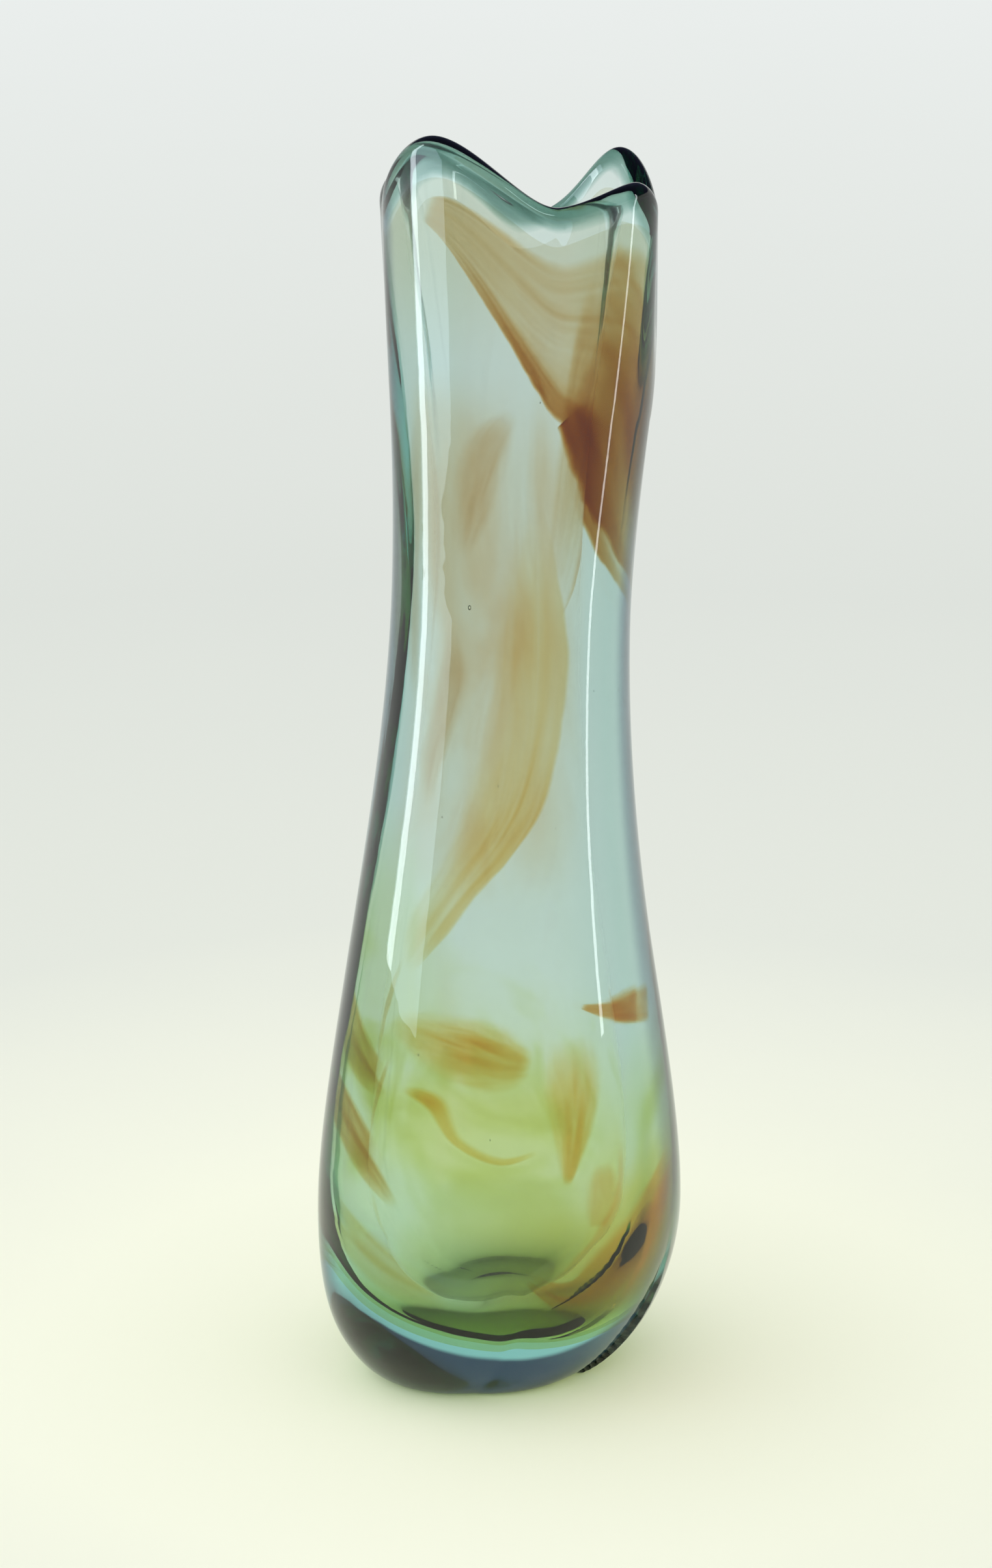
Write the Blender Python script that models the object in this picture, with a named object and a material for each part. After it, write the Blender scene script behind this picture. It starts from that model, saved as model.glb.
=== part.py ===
"""Hand blown, cased art glass vase: an outer casing of clear aqua glass over a thin inner bubble, with ribbons
of amber, brown and yellow glass laid on the bubble before it was cased. Four lobes are pulled out of the wall,
and the rim rises over each of them.

Run with: blender --background --python part.py

Frame: +Z up, origin on the table under the middle of the vase's outline, -Y towards the front, which is the
side with the deep furrow between the tallest lobe and the lowest one. Sizes are millimetres and degrees, and
`to_space` turns them into metres.
"""

import math

import bmesh
import bpy
from mathutils import Vector
from mathutils.geometry import interpolate_bezier

MM = 0.001

# ---------------------------------------------------------------- driving dimensions
RIM_HEIGHT = 238.0  # the wall's nominal height, before the rim is waved
LIP_START = RIM_HEIGHT - 2.2  # where the wall's two faces end and the rounded lip begins
LEAN = 3.4  # how far the hot neck sagged towards +X
LEAN_FROM, LEAN_TO = 85.0, 215.0  # the heights between which it did
WAVE_FROM = 150.0  # the rim's wave dies out at this height
OFF_CENTRE = (0.1, -0.3)  # the middle of the finished outline, seen from the meridians' axis

FOOT_RADIUS = 20.0  # outer edge of the flat ground foot
PONTIL_RADIUS = 9.0  # polished hollow where the pontil rod was cracked off
PONTIL_DEPTH = 1.0

BUBBLE_WALL = 1.6
RIBBON_GAP = 0.4  # room on each side of a ribbon
RIBBON_THICKNESS = 0.7
RIBBON_EDGE = 0.16  # thickness left at a ribbon's long edges
CASING_INSIDE = BUBBLE_WALL + RIBBON_THICKNESS + 2 * RIBBON_GAP
LIP_STATION = 2.93  # the bubble stops here, under the lip that the casing folds over it
LIP_GAP = 0.006  # in stations

# Meridian knots as (radius, height) with the handles before and after, at the furrows' depth. Station 0 is the
# foot's edge outside and the bottom of the hollow inside, 1 the belly, 2 the waist and 3 the rim.
OUTER_KNOTS = (
    ((FOOT_RADIUS, 0.0), None, (25.0, 0.0)),
    ((34.9, 34.0), (34.9, 15.0), (34.9, 62.0)),
    ((22.4, 160.0), (22.4, 107.0), (22.4, 190.0)),
    ((25.0, LIP_START), (24.1, 215.0), None),
)
CAVITY_KNOTS = (
    ((0.0, 11.5), None, (16.5, 11.5)),
    ((25.4, 41.0), (25.4, 24.0), (25.4, 67.0)),
    ((14.8, 160.0), (14.8, 112.0), (14.8, 190.0)),
    ((20.4, LIP_START), (17.6, 215.0), None),
)
TOP_STATION = 3.0

# Each lobe runs from one furrow to the next. Azimuths are at the rim, anticlockwise from +X.
FURROWS = (-70.0, -8.0, 94.0, 182.0)
LOBE_NAMES = ("low_front", "back_right", "back_left", "tall_front")
RIM_OVER_LOBE = (240.5, 241.0, 238.0, 250.0)
RIM_OVER_FURROW = (236.5, 230.0, 227.0, 233.0)
RIM_PEAK = (1.0, 2.0, 1.0, 1.0)  # how narrow each crest is
# How far each lobe stands out from the furrows, at the heel, the belly, the waist and the rim. The low front lobe
# is undercut at the heel, so the tall one overhangs it there.
REACH_HEIGHTS = (8.0, 34.0, 150.0, 236.0)
LOBE_REACH = (
    (-0.5, 1.8, 1.4, 5.4),
    (1.6, 1.8, 1.4, 4.6),
    (1.0, 1.8, 1.4, 4.4),
    (6.0, 3.4, 1.6, 5.0),
)
FURROW_DEPTH = (1.0, 0.3, 1.0, 0.8)  # how deep each furrow is in the body, as a share of its depth at the rim
FURROW_FROM, FURROW_TO = 200.0, 245.0  # the heights between which it deepens to the rim's
CAVITY_REACH = 0.85  # the hollow's lobes, as a share of the wall's
CREASE_SOFT, CREASE_SHARP = 0.42, 0.07  # how round a furrow's bottom is, up the wall and at the heel
CREASE_HEIGHT = 60.0
TWIST = -12.0  # the furrows turn by this from the rim to the foot
HEEL_TWIST, HEEL_TWIST_HEIGHT = -20.0, 9.0  # and sweep on under the heel
HEEL_TOWARDS, HEEL_FORWARD, HEEL_NARROW = -104.0, 1.8, 3.0  # the foot is drawn this way, and narrower across it
HEEL_FORM_HEIGHT = 7.0

# Ribbons: the route as (azimuth, height) points on the wall, the width at each point, and the steps along it.
RIBBONS = {
    "brown_sash": (
        ((-130, 226), (-108, 223), (-80, 218.5), (-44, 212), (-14, 203), (22, 177), (60, 148)),
        (4, 13, 24, 34, 38, 34, 5),
        40,
    ),
    "smoky_wisp_1": (((-92, 197), (-104, 189), (-113, 179), (-119, 168)), (2, 7, 8, 3), 8),
    "smoky_wisp_2": (((-124, 157), (-121, 148), (-124, 139), (-130, 129), (-130, 119)), (2, 6, 6, 5, 2), 10),
    "smoky_wisp_3": (((-158, 197), (-166, 184), (-170, 168), (-168, 152), (-162, 138)), (2, 6, 6, 5, 2), 12),
    "amber_tongue": (
        ((-78, 181), (-79, 167), (-78, 150), (-80, 137), (-88, 124),
         (-98, 115), (-112, 106), (-124, 97), (-133, 87)),
        (3, 10, 14, 14, 15, 12, 9, 8, 3),
        24,
    ),
    "amber_belt": (((-138, 77), (-122, 76), (-106, 74), (-90, 71.5), (-76, 70)), (4, 12, 16, 15, 7), 12),
    "yellow_loop": (((-128, 65), (-115, 63), (-106, 56), (-90, 52), (-74, 53.5)), (2, 4.5, 2.6, 2.2, 1.2), 12),
    "amber_wedge": (((-60, 76), (-60, 67), (-61, 57), (-64, 46)), (9, 12, 8.5, 1.5), 8),
    "amber_fleck": (((-54, 81), (-38, 78.5), (-22, 77), (-10, 76)), (1, 4.5, 8, 9), 8),
    "amber_patch": (((-50, 50), (-50, 43), (-52, 37)), (4, 8, 4), 6),
    "orange_crescent": (
        ((4, 45), (-10, 36), (-22, 28.5), (-36, 24.5), (-52, 22), (-66, 23.5), (-80, 28)),
        (4, 14, 20, 16, 8, 3, 1.2),
        28,
    ),
    "olive_stripe_1": (((-196, 83), (-176, 75), (-160, 69), (-146, 65), (-135, 62)), (2, 6, 7, 6, 2), 12),
    "olive_stripe_2": (((-190, 62), (-172, 57), (-156, 53), (-140, 47), (-127, 41)), (2, 6, 7, 6, 2), 12),
    "olive_stripe_3": (((-172, 37), (-152, 31), (-130, 25.5), (-110, 22)), (3, 8, 8, 3), 12),
}

# ---------------------------------------------------------------- mesh fineness
AROUND = 48
STEPS_PER_STATION = (6, 6, 6)
RIM_STEPS = 4
RIBBON_SPAN = 3.0  # widest facet across a ribbon
ROUTE_STEPS = 64  # along each stretch of a ribbon's route, before it is cut into its own steps
CLOSEST = 0.02  # stations nearer than this to an end are left out


def smooth_step(value, low, high):
    share = min(max((value - low) / (high - low), 0.0), 1.0)
    return share * share * (3.0 - 2.0 * share)


def between(value, stops, amounts):
    """Smoothly interpolates amounts over rising stops."""
    if value <= stops[0]:
        return amounts[0]
    for low, high, first, second in zip(stops, stops[1:], amounts, amounts[1:]):
        if value <= high:
            return first + (second - first) * smooth_step(value, low, high)
    return amounts[-1]


# ---------------------------------------------------------------- the vase's form
def lobe_at(azimuth, height):
    """The lobe that holds an azimuth at a height, and how far across it that is, from 0 to 1."""
    turned = TWIST * (1.0 - height / RIM_HEIGHT) + HEEL_TWIST * math.exp(-height / HEEL_TWIST_HEIGHT)
    offset = (azimuth - turned - FURROWS[0]) % 360.0
    starts = [furrow - FURROWS[0] for furrow in FURROWS] + [360.0]
    for index in range(len(FURROWS)):
        if offset <= starts[index + 1]:
            return index, (offset - starts[index]) / (starts[index + 1] - starts[index])
    return 0, 0.0


def swell(azimuth, height):
    """How far the wall stands out from the furrows."""
    index, across = lobe_at(azimuth, height)
    soft = CREASE_SHARP + (CREASE_SOFT - CREASE_SHARP) * smooth_step(height, 0.0, CREASE_HEIGHT)
    form = math.sqrt(math.sin(math.pi * across) ** 2 + soft**2) - soft
    form /= math.sqrt(1.0 + soft**2) - soft
    depth = FURROW_DEPTH[index if across < 0.5 else (index + 1) % len(FURROWS)]
    depth += (1.0 - depth) * smooth_step(height, FURROW_FROM, FURROW_TO)
    form = 1.0 - (1.0 - form) * depth
    return form * between(height, REACH_HEIGHTS, LOBE_REACH[index]) + heel_form(azimuth, height)


def heel_form(azimuth, height):
    turn = math.radians(azimuth - HEEL_TOWARDS)
    drawn = HEEL_FORWARD * math.cos(turn) - HEEL_NARROW * math.sin(turn) ** 2
    return drawn * math.exp(-height / HEEL_FORM_HEIGHT)


def rim_height(azimuth):
    index, across = lobe_at(azimuth, RIM_HEIGHT)
    crest = RIM_OVER_LOBE[index]
    ends = (RIM_OVER_FURROW[index], RIM_OVER_FURROW[(index + 1) % len(FURROWS)])
    valley = ends[0] if across < 0.5 else ends[1]
    rise = smooth_step(1.0 - abs(2.0 * across - 1.0), 0.0, 1.0) ** RIM_PEAK[index]
    return valley + (crest - valley) * rise


def to_space(azimuth, radius, height, reach_share=1.0):
    """Turns a point of the meridian into a point of the lobed, waved and leaning vase, in metres."""
    angle = math.radians(azimuth)
    lobed = radius + reach_share * swell(azimuth, height) * smooth_step(radius, 0.0, FOOT_RADIUS)
    raised = height + (rim_height(azimuth) - RIM_HEIGHT) * smooth_step(height, WAVE_FROM, RIM_HEIGHT)
    sag = LEAN * smooth_step(height, LEAN_FROM, LEAN_TO)
    across = lobed * math.cos(angle) + sag - OFF_CENTRE[0]
    return Vector((across, lobed * math.sin(angle) - OFF_CENTRE[1], raised)) * MM


def on_curve(knots, station):
    """(radius, height) at a station of a meridian curve."""
    index = min(int(station), len(knots) - 2)
    (start, _, leaving), (end, arriving, _) = knots[index], knots[index + 1]
    points = (Vector(start), Vector(leaving), Vector(arriving), Vector(end))
    share = station - index
    while len(points) > 1:
        points = tuple(a.lerp(b, share) for a, b in zip(points, points[1:]))
    return points[0]


def outer_point(azimuth, station):
    radius, height = on_curve(OUTER_KNOTS, station)
    return to_space(azimuth, radius, height)


def layer_point(azimuth, station, depth):
    """A point of the wall, `depth` mm from the hollow's surface."""
    step = 0.001
    here = on_curve(CAVITY_KNOTS, station)
    along = on_curve(CAVITY_KNOTS, min(station + step, TOP_STATION)) - on_curve(
        CAVITY_KNOTS, max(station - step, 0.0)
    )
    outwards = Vector((along.y, -along.x)).normalized()
    radius, height = here + outwards * depth
    return to_space(azimuth, max(radius, 0.0), height, CAVITY_REACH)


def station_at(height):
    """The station of the hollow's curve at a height up the wall."""
    low, high = 0.0, TOP_STATION
    for _ in range(30):
        middle = (low + high) / 2.0
        if on_curve(CAVITY_KNOTS, middle).y < height:
            low = middle
        else:
            high = middle
    return low


# ---------------------------------------------------------------- mesh building
def ring(point_at):
    return [point_at(360.0 * step / AROUND) for step in range(AROUND)]


def stations(first, last):
    """Stations from first to last, closer where the curve is bent."""
    marks = [0.0]
    for index, steps in enumerate(STEPS_PER_STATION):
        marks += [index + (step + 1) / steps for step in range(steps)]
    inside = [mark for mark in marks if first + CLOSEST < mark < last - CLOSEST]
    return [first, *inside, last]


def closed_loft(name, rings, poles, material):
    """One solid through rings of points, closed by a pole or a flat cap at each end."""
    mesh = bmesh.new()
    loops = [[mesh.verts.new(point) for point in points] for points in rings]
    for lower, upper in zip(loops, loops[1:]):
        count = len(lower)
        for side in range(count):
            following = (side + 1) % count
            mesh.faces.new((lower[side], lower[following], upper[following], upper[side]))
    for loop, pole in zip((loops[0], loops[-1]), poles):
        if pole is None:
            mesh.faces.new(loop)
            continue
        tip = mesh.verts.new(pole)
        for side, vert in enumerate(loop):
            mesh.faces.new((vert, loop[(side + 1) % len(loop)], tip))
    bmesh.ops.recalc_face_normals(mesh, faces=mesh.faces)
    data = bpy.data.meshes.new(name)
    mesh.to_mesh(data)
    mesh.free()
    data.shade_smooth()
    data.materials.append(material)
    thing = bpy.data.objects.new(name, data)
    bpy.context.scene.collection.objects.link(thing)
    return thing


def glass(name, colour, roughness=0.02):
    material = bpy.data.materials.new(name)
    material.use_nodes = True
    shader = material.node_tree.nodes["Principled BSDF"]
    shader.inputs["Base Color"].default_value = (*colour, 1.0)
    shader.inputs["Roughness"].default_value = roughness
    shader.inputs["Metallic"].default_value = 0.0
    shader.inputs["IOR"].default_value = 1.5
    shader.inputs["Transmission Weight"].default_value = 1.0
    return material


# ---------------------------------------------------------------- the pieces
def outer_casing():
    """The last gather: heel, foot and wall, folded over the bubble's edge at the lip."""
    rings = []
    for share in (0.35, 0.7, 1.0):
        depth = PONTIL_DEPTH * (1.0 - share**2)
        rings.append(ring(lambda az, s=share, d=depth: to_space(az, PONTIL_RADIUS * s, d, 0.0)))
    for station in stations(0.0, TOP_STATION):
        rings.append(ring(lambda az, s=station: outer_point(az, s)))
    for step in range(1, RIM_STEPS):
        rings.append(ring(lambda az, s=step / RIM_STEPS: rim_point(az, s)))
    for station in (TOP_STATION, LIP_STATION):
        rings.append(ring(lambda az, s=station: layer_point(az, s, 0.0)))
    for station in reversed(stations(0.0, LIP_STATION)[1:]):
        rings.append(ring(lambda az, s=station: layer_point(az, s, CASING_INSIDE)))
    bottom = layer_point(0.0, 0.0, CASING_INSIDE)
    return closed_loft("outer_casing", rings, (to_space(0.0, 0.0, PONTIL_DEPTH), bottom), AQUA)


def rim_point(azimuth, share):
    """A point of the fire-polished half round that joins the outside to the hollow."""
    outside = on_curve(OUTER_KNOTS, TOP_STATION)
    inside = on_curve(CAVITY_KNOTS, TOP_STATION)
    middle, half = (outside + inside) / 2.0, (outside - inside).length / 2.0
    turn = math.pi * share
    radius = middle.x + half * math.cos(turn)
    reach_share = 1.0 + (CAVITY_REACH - 1.0) * share
    top = to_space(azimuth, radius, LIP_START, reach_share)
    return top + Vector((0.0, 0.0, half * math.sin(turn) * MM))


def inner_bubble():
    """The first gather, which lines the hollow."""
    top = LIP_STATION - LIP_GAP
    outside = [ring(lambda az, s=s: layer_point(az, s, BUBBLE_WALL)) for s in stations(0.0, top)[1:]]
    inside = [ring(lambda az, s=s: layer_point(az, s, 0.0)) for s in stations(0.0, top)[1:]]
    poles = (layer_point(0.0, 0.0, BUBBLE_WALL), layer_point(0.0, 0.0, 0.0))
    return closed_loft("inner_bubble", outside + inside[::-1], poles, PALE_AQUA)


def ribbon(name, material, route, widths, steps):
    """A flattened trail of coloured glass between bubble and casing.

    route is (azimuth, height) points and widths the trail's full width at each, both smoothed by a curve.
    """
    spans = max(2, math.ceil(max(widths) / RIBBON_SPAN))
    rings = []
    for step in range(steps + 1):
        centre, width, across = along_route(route, widths, step / steps)
        rings.append(ribbon_section(centre, width / 2.0, across, spans))
    return closed_loft(name, rings, (None, None), material)


def along_route(route, widths, share):
    """Centre, width and crosswise direction at a share of a ribbon's route, in mm on the unrolled wall."""
    step = 0.01
    centre = smooth_route(route, share)
    ahead = smooth_route(route, min(share + step, 1.0)) - smooth_route(route, max(share - step, 0.0))
    around = math.radians(1.0) * wall_radius(centre.y)
    direction = Vector((ahead.x * around, ahead.y)).normalized()
    width = smooth_route([(width, 0.0) for width in widths], share).x
    return centre, width, Vector((-direction.y / around, direction.x))


def wall_radius(height):
    return on_curve(CAVITY_KNOTS, station_at(height)).x


def smooth_route(points, share):
    """A point of the smooth curve through a ribbon's points."""
    last = len(points) - 1
    index = min(int(share * last), last - 1)
    part = share * last - index
    start, end = Vector(points[index]), Vector(points[index + 1])
    before = Vector(points[index - 1]) if index else start
    after = Vector(points[index + 2]) if index + 2 <= last else end
    leaving, arriving = (end - before) / 6.0, (after - start) / 6.0
    if part <= 0.0:
        return start
    curve = interpolate_bezier(start, start + leaving, end - arriving, end, ROUTE_STEPS + 1)
    spot = part * ROUTE_STEPS
    lower = min(int(spot), ROUTE_STEPS - 1)
    return curve[lower].lerp(curve[lower + 1], spot - lower).xy


def ribbon_section(centre, half_width, across, spans):
    """The closed outline of a ribbon's cross section: flat on the bubble, crowned towards the casing."""
    outline = []
    for face in (1, -1):
        for step in range(spans + 1):
            offset = face * (2.0 * step / spans - 1.0)
            spot = centre + across * (offset * half_width)
            base = BUBBLE_WALL + RIBBON_GAP
            crown = RIBBON_EDGE + (RIBBON_THICKNESS - RIBBON_EDGE) * (1.0 - offset**2)
            depth = base + (crown if face == 1 else 0.0)
            outline.append(layer_point(spot.x, station_at(spot.y), depth))
    return outline


bpy_objects = bpy.data.objects
for leftover in list(bpy_objects):
    bpy_objects.remove(leftover)

AQUA = glass("aqua glass", (0.62, 0.86, 0.88))
PALE_AQUA = glass("pale aqua glass", (0.80, 0.90, 0.90))
RIBBON_GLASS = {
    "brown": glass("brown glass", (0.36, 0.14, 0.03)),
    "smoky": glass("smoky glass", (0.42, 0.32, 0.20)),
    "amber": glass("amber glass", (0.80, 0.47, 0.10)),
    "yellow": glass("yellow glass", (0.84, 0.78, 0.20)),
    "orange": glass("orange glass", (0.88, 0.34, 0.05)),
    "olive": glass("olive glass", (0.50, 0.46, 0.16)),
}

outer_casing()
inner_bubble()
for ribbon_name, (ribbon_route, ribbon_widths, ribbon_steps) in RIBBONS.items():
    ribbon_material = RIBBON_GLASS[ribbon_name.split("_")[0]]
    ribbon(ribbon_name, ribbon_material, ribbon_route, ribbon_widths, ribbon_steps)
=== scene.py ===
"""Looks for the hand blown, cased art glass vase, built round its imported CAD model.

The casing is one thick closed body of clear aqua glass, with its hollow, that refracts and absorbs as
glass does. The lining and each trail of coloured glass are thin closed shells inside its wall. They only
tint what passes through them, because they are fused into the same glass and bend no light of their own.

Sizes in the tables are millimetres and degrees. Azimuths are anticlockwise from +X, and the front is -Y.
"""

import math

import bpy
import numpy as np
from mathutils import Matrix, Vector


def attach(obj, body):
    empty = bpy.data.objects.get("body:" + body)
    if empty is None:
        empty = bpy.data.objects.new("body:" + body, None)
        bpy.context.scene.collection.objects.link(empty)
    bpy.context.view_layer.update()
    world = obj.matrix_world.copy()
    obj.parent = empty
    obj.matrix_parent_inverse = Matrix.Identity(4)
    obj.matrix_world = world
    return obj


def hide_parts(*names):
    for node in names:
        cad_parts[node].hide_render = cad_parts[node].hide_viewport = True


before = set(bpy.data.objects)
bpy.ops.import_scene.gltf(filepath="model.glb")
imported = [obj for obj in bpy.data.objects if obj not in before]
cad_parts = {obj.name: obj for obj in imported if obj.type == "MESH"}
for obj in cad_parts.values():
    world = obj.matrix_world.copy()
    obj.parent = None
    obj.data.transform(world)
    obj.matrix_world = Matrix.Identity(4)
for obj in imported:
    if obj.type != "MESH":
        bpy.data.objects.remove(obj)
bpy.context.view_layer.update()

MM = 0.001

# ---------------------------------------------------------------- the vase's form, as in the CAD model
RIM_HEIGHT = 238.0
LIP_START = RIM_HEIGHT - 2.2
LEAN, LEAN_FROM, LEAN_TO = 3.4, 85.0, 215.0
WAVE_FROM = 150.0
OFF_CENTRE = (0.1, -0.3)  # the middle of the finished outline, seen from the meridians' axis
FOOT_RADIUS, PONTIL_RADIUS, PONTIL_DEPTH = 20.0, 9.0, 1.0
BUBBLE_WALL = 1.6
RIBBON_FLOOR = 2.0  # depth of a ribbon's inner face
RIBBON_THICKNESS, RIBBON_EDGE = 0.7, 0.16
TOP_STATION = 3.0
# A meridian's knots: (point, handle towards it, handle away from it), each as (radius, height).
OUTER_KNOTS = (
    ((FOOT_RADIUS, 0.0), None, (25.0, 0.0)),
    ((34.9, 34.0), (34.9, 15.0), (34.9, 62.0)),
    ((22.4, 160.0), (22.4, 107.0), (22.4, 190.0)),
    ((25.0, LIP_START), (24.1, 215.0), None),
)
CAVITY_KNOTS = (
    ((0.0, 11.5), None, (16.5, 11.5)),
    ((25.4, 41.0), (25.4, 24.0), (25.4, 67.0)),
    ((14.8, 160.0), (14.8, 112.0), (14.8, 190.0)),
    ((20.4, LIP_START), (17.6, 215.0), None),
)
# The four furrows that part the lobes. What follows is listed by the furrow or by the lobe after it.
FURROWS = np.array((-70.0, -8.0, 94.0, 182.0))
RIM_OVER_LOBE = np.array((240.5, 241.0, 238.0, 250.0))
RIM_OVER_FURROW = np.array((236.5, 230.0, 227.0, 233.0))
RIM_PEAK = np.array((1.0, 2.0, 1.0, 1.0))
REACH_HEIGHTS = (8.0, 34.0, 150.0, 236.0)  # where each lobe has the four reaches of its row
LOBE_REACH = (
    (-0.5, 1.8, 1.4, 5.4),
    (1.6, 1.8, 1.4, 4.6),
    (1.0, 1.8, 1.4, 4.4),
    (6.0, 3.4, 1.6, 5.0),
)
FURROW_DEPTH = np.array((1.0, 0.3, 1.0, 0.8))
FURROW_FROM, FURROW_TO = 200.0, 245.0  # the heights between which it deepens to the rim's
CAVITY_REACH = 0.85  # how much of the lobes' reach the hollow follows
CREASE_SOFT, CREASE_SHARP, CREASE_HEIGHT = 0.42, 0.07, 60.0
TWIST = -12.0
HEEL_TWIST, HEEL_TWIST_HEIGHT = -20.0, 9.0
HEEL_TOWARDS, HEEL_FORWARD, HEEL_NARROW, HEEL_FORM_HEIGHT = -104.0, 1.8, 3.0, 7.0
SETTLE = 0.9975  # keeps the fine surface inside the box of the faceted one

AROUND = 216
PER_STATION = 56
PONTIL_STEPS = 8
RIM_STEPS = 18
LIP_SHADE_FADE = 3  # rings over which the painted shade on the lip fades out
OUTSIDE_RIPPLE, OUTSIDE_SEED = 0.10, 3
HOLLOW_RIPPLE, HOLLOW_SEED = 0.16, 5
RIPPLE_WAVES, RIPPLE_LENGTHS = 7, (16, 42)
RIPPLE_ACROSS = (1.0, 1.0, 0.35)  # they vary round the vase more than up it
RIPPLE_STARTS, RIPPLE_ENDS = (2.0, 25.0), (205.0, 225.0)  # the heights over which they come in and die out
LINING_TOP, LINING_STEPS = 2.92, 239  # it ends at this station, just under the lip
LINING_INNER, LINING_OUTER = 0.45, BUBBLE_WALL - 0.05  # depths of its two faces
RIBBON_STEPS, RIBBON_SPANS = 110, 26
SEED_COUNT, SEED_RINGS, SEED_SIDES = 26, 7, 12
SEED_HEIGHTS, SEED_DEPTHS, SEED_RADII, SEED_STRETCH = (18, 215), (3.2, 4.6), (0.06, 0.16), 1.4
LARGE_SEED = (-112.0, 160.0, 3.4, 0.30, 1.6)
TRAIL_MAP, CASING_MAP = "along_across", "skin_and_lip"


def smooth_step(value, low, high):
    """0 at low and 1 at high, eased at both ends."""
    share = np.clip((value - low) / (high - low), 0.0, 1.0)
    return share * share * (3.0 - 2.0 * share)


def between(value, stops, amounts):
    """The amount at a value, eased from each stop's amount to the next."""
    total = np.full(np.shape(value), float(amounts[0]))
    for low, high, first, second in zip(stops, stops[1:], amounts, amounts[1:]):
        total = total + (second - first) * smooth_step(value, low, high)
    return total


def lobe_at(azimuth, height):
    """The lobe that a point lies on, and its share of the way across. The furrows twist towards the base."""
    turned = TWIST * (1.0 - height / RIM_HEIGHT) + HEEL_TWIST * np.exp(-height / HEEL_TWIST_HEIGHT)
    offset = (azimuth - turned - FURROWS[0]) % 360.0
    starts = np.append(FURROWS - FURROWS[0], 360.0)
    index = np.clip(np.searchsorted(starts, offset, side="left") - 1, 0, 3)
    return index, (offset - starts[index]) / (starts[index + 1] - starts[index])


def swell(azimuth, height):
    """How far the lobes push a point of the wall outwards."""
    index, across = lobe_at(azimuth, height)
    soft = CREASE_SHARP + (CREASE_SOFT - CREASE_SHARP) * smooth_step(height, 0.0, CREASE_HEIGHT)
    form = np.sqrt(np.sin(math.pi * across) ** 2 + soft**2) - soft
    form = form / (np.sqrt(1.0 + soft**2) - soft)
    depth = FURROW_DEPTH[np.where(across < 0.5, index, (index + 1) % 4)]
    depth = depth + (1.0 - depth) * smooth_step(height, FURROW_FROM, FURROW_TO)
    form = 1.0 - (1.0 - form) * depth
    reaches = np.stack([between(height, REACH_HEIGHTS, reach) for reach in LOBE_REACH])
    return form * np.take_along_axis(reaches, index[None], 0)[0] + heel_form(azimuth, height)


def heel_form(azimuth, height):
    """The foot is drawn one way and is narrower across it."""
    turn = np.radians(azimuth - HEEL_TOWARDS)
    drawn = HEEL_FORWARD * np.cos(turn) - HEEL_NARROW * np.sin(turn) ** 2
    return drawn * np.exp(-height / HEEL_FORM_HEIGHT)


def rim_height(azimuth):
    """The rim rises over each lobe and falls at each furrow."""
    index, across = lobe_at(azimuth, np.full(np.shape(azimuth), RIM_HEIGHT))
    valley = np.where(across < 0.5, RIM_OVER_FURROW[index], RIM_OVER_FURROW[(index + 1) % 4])
    rise = smooth_step(1.0 - np.abs(2.0 * across - 1.0), 0.0, 1.0) ** RIM_PEAK[index]
    return valley + (RIM_OVER_LOBE[index] - valley) * rise


def to_space(azimuth, radius, height, reach_share=1.0):
    """The point in metres for a place on the plain round form: lobed, waved at the rim, and leaning."""
    azimuth, radius, height = np.broadcast_arrays(
        np.asarray(azimuth, float), np.asarray(radius, float), np.asarray(height, float)
    )
    angle = np.radians(azimuth)
    lobed = radius + reach_share * swell(azimuth, height) * smooth_step(radius, 0.0, FOOT_RADIUS)
    wave = smooth_step(height, WAVE_FROM, RIM_HEIGHT)
    raised = height + (rim_height(azimuth) - RIM_HEIGHT) * wave
    sag = LEAN * smooth_step(height, LEAN_FROM, LEAN_TO)
    across = lobed * np.cos(angle) + sag - OFF_CENTRE[0]
    along = lobed * np.sin(angle) - OFF_CENTRE[1]
    return np.stack([across * SETTLE, along * SETTLE, raised * SETTLE], -1) * MM


def on_curve(knots, station):
    """Radius and height at stations of a meridian curve."""
    station = np.asarray(station, float)
    index = np.minimum(station.astype(int), len(knots) - 2)
    spans = np.array([[a[0], a[2], b[1], b[0]] for a, b in zip(knots, knots[1:])], float)
    share = (station - index)[..., None]
    p = spans[index]
    points = (
        (1 - share) ** 3 * p[..., 0, :]
        + 3 * (1 - share) ** 2 * share * p[..., 1, :]
        + 3 * (1 - share) * share**2 * p[..., 2, :]
        + share**3 * p[..., 3, :]
    )
    return points[..., 0], points[..., 1]


def layer_meridian(station, depth):
    """Radius and height `depth` from the hollow's surface."""
    step = 0.001
    radius, height = on_curve(CAVITY_KNOTS, station)
    r_up, h_up = on_curve(CAVITY_KNOTS, np.minimum(station + step, TOP_STATION))
    r_down, h_down = on_curve(CAVITY_KNOTS, np.maximum(station - step, 0.0))
    rise, out = h_up - h_down, r_up - r_down
    length = np.hypot(rise, out)
    return np.maximum(radius + depth * rise / length, 0.0), height - depth * out / length


STATION_TABLE = np.linspace(0.0, TOP_STATION, 3001)
HEIGHT_TABLE = on_curve(CAVITY_KNOTS, STATION_TABLE)[1]


def layer_point(azimuth, station, depth):
    """The point `depth` into the wall from the hollow."""
    radius, height = layer_meridian(station, depth)
    return to_space(azimuth, radius, height, CAVITY_REACH)


def station_at(height):
    """The hollow's station at a height."""
    return np.interp(height, HEIGHT_TABLE, STATION_TABLE)


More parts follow.
